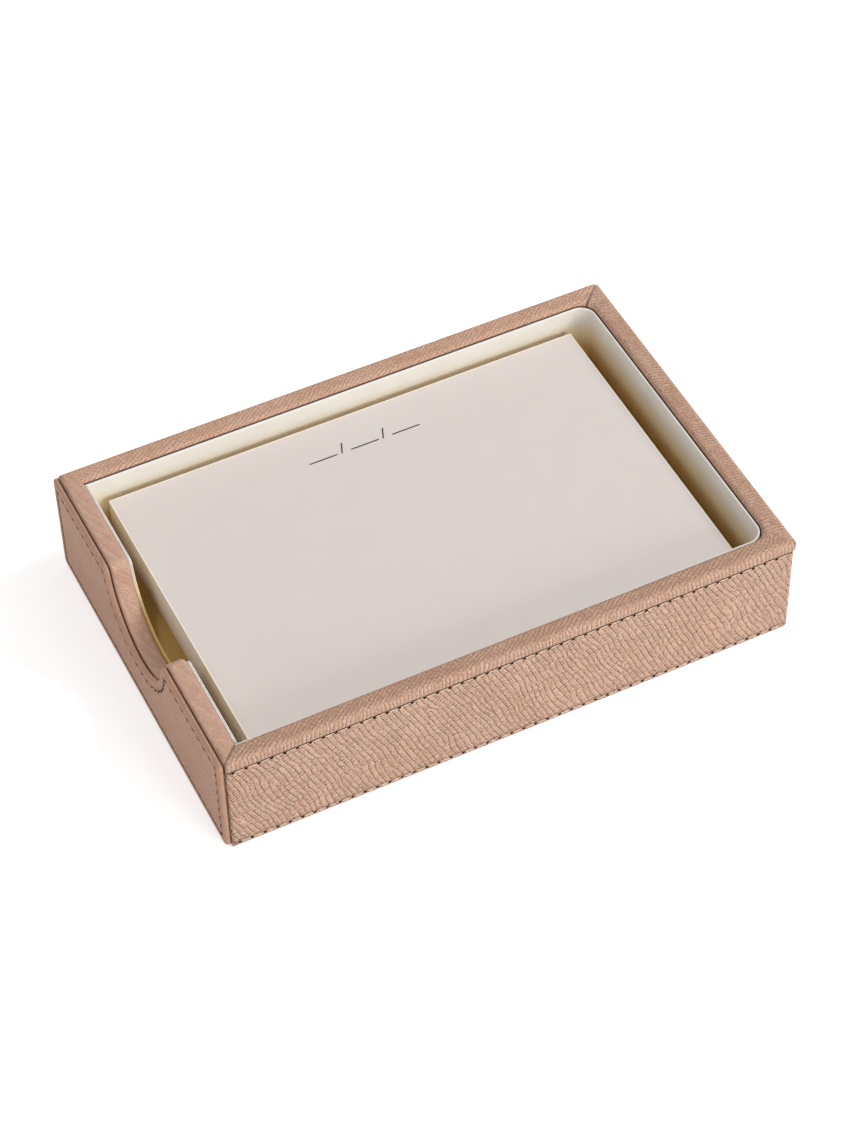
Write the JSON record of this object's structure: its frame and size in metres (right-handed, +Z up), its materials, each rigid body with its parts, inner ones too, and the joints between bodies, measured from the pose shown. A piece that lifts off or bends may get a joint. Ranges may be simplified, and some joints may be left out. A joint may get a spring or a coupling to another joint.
{
  "type": "memo pad holder with drawer",
  "caption": "Low leather-covered memo holder: a lined tray of loose note sheets with a thumb notch in one end, above a shallow drawer that slides out at that end.",
  "frame": {"origin": "on the table under the middle of the holder, at the underside of the felt", "axes": "+X along the length, away from the notched drawer end; +Y to the rear; +Z up"},
  "size_m": [0.1794, 0.12, 0.037],
  "materials": {
    "leather": "cross-grained, blush, matt",
    "thread": "twisted thread",
    "board": "plain fibreboard",
    "lining": "cream suede",
    "felt": "pale felt",
    "paper": "uncoated white paper"
  },
  "bodies": {
    "holder": {"base_felt": "felt", "base_board": "board", "front_board": "board", "rear_board": "board", "right_board": "board", "left_board": "board", "shelf_board": "board", "wall_wrap": "leather", "front_rim": "leather", "right_rim": "leather", "rear_rim": "leather", "left_rim": "leather", "wall_lining": "lining", "end_lining": "lining", "floor_lining": "lining", "rim_seam_stitches": "thread", "base_seam_stitches": "thread"},
    "drawer": {"end_panel": "leather", "panel_stiffener": "board", "end_panel_stitches": "thread", "drawer_front_side": "board", "drawer_rear_side": "board", "drawer_head": "board", "drawer_back": "board", "drawer_bottom": "board", "drawer_lining": "lining"},
    "note_stack": {"note_sheets": "paper"},
    "loose_sheet": {"top_sheet": "paper"}
  },
  "joints": [
    {"name": "drawer_slide", "type": "slide", "parent": "holder", "child": "drawer", "axis": [-1, 0, 0], "range_m": [0, 0.12]},
    {"name": "stack_lift", "type": "slide", "parent": "holder", "child": "note_stack", "axis": [0, 0, 1], "range_m": [0, 0.04]},
    {"name": "sheet_lift", "type": "slide", "parent": "note_stack", "child": "loose_sheet", "axis": [0, 0, 1], "range_m": [0, 0.03]}
  ]
}
